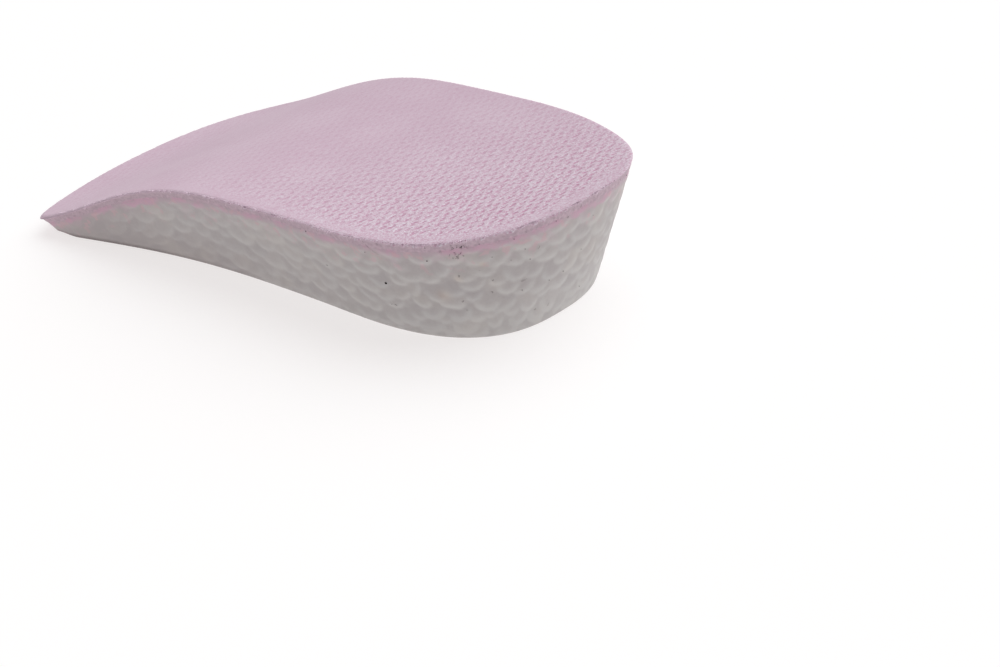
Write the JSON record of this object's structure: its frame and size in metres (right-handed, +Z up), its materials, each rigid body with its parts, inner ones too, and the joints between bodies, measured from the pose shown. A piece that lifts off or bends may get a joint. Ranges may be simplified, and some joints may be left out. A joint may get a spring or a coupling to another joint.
{
  "type": "heel lift",
  "caption": "Wedge-shaped shoe heel lift of white fused bead foam with a pink mesh-knit fabric cover bonded to its top; raises the heel inside a shoe.",
  "frame": {"origin": "on the flat underside, below the middle of the part's bounding box", "axes": "+Y towards the toe, +X towards the wearer's right, +Z up out of the fabric cover"},
  "size_m": [0.0688, 0.1282, 0.025],
  "materials": {
    "bead_foam": "soft satin, slightly translucent white foam of fused beads",
    "knit_fabric": "matte pink mesh knit with rows of small dimples and a fuzzy cut edge"
  },
  "bodies": {
    "root": {"foam_wedge": "bead_foam", "top_cover": "knit_fabric"}
  },
  "joints": []
}
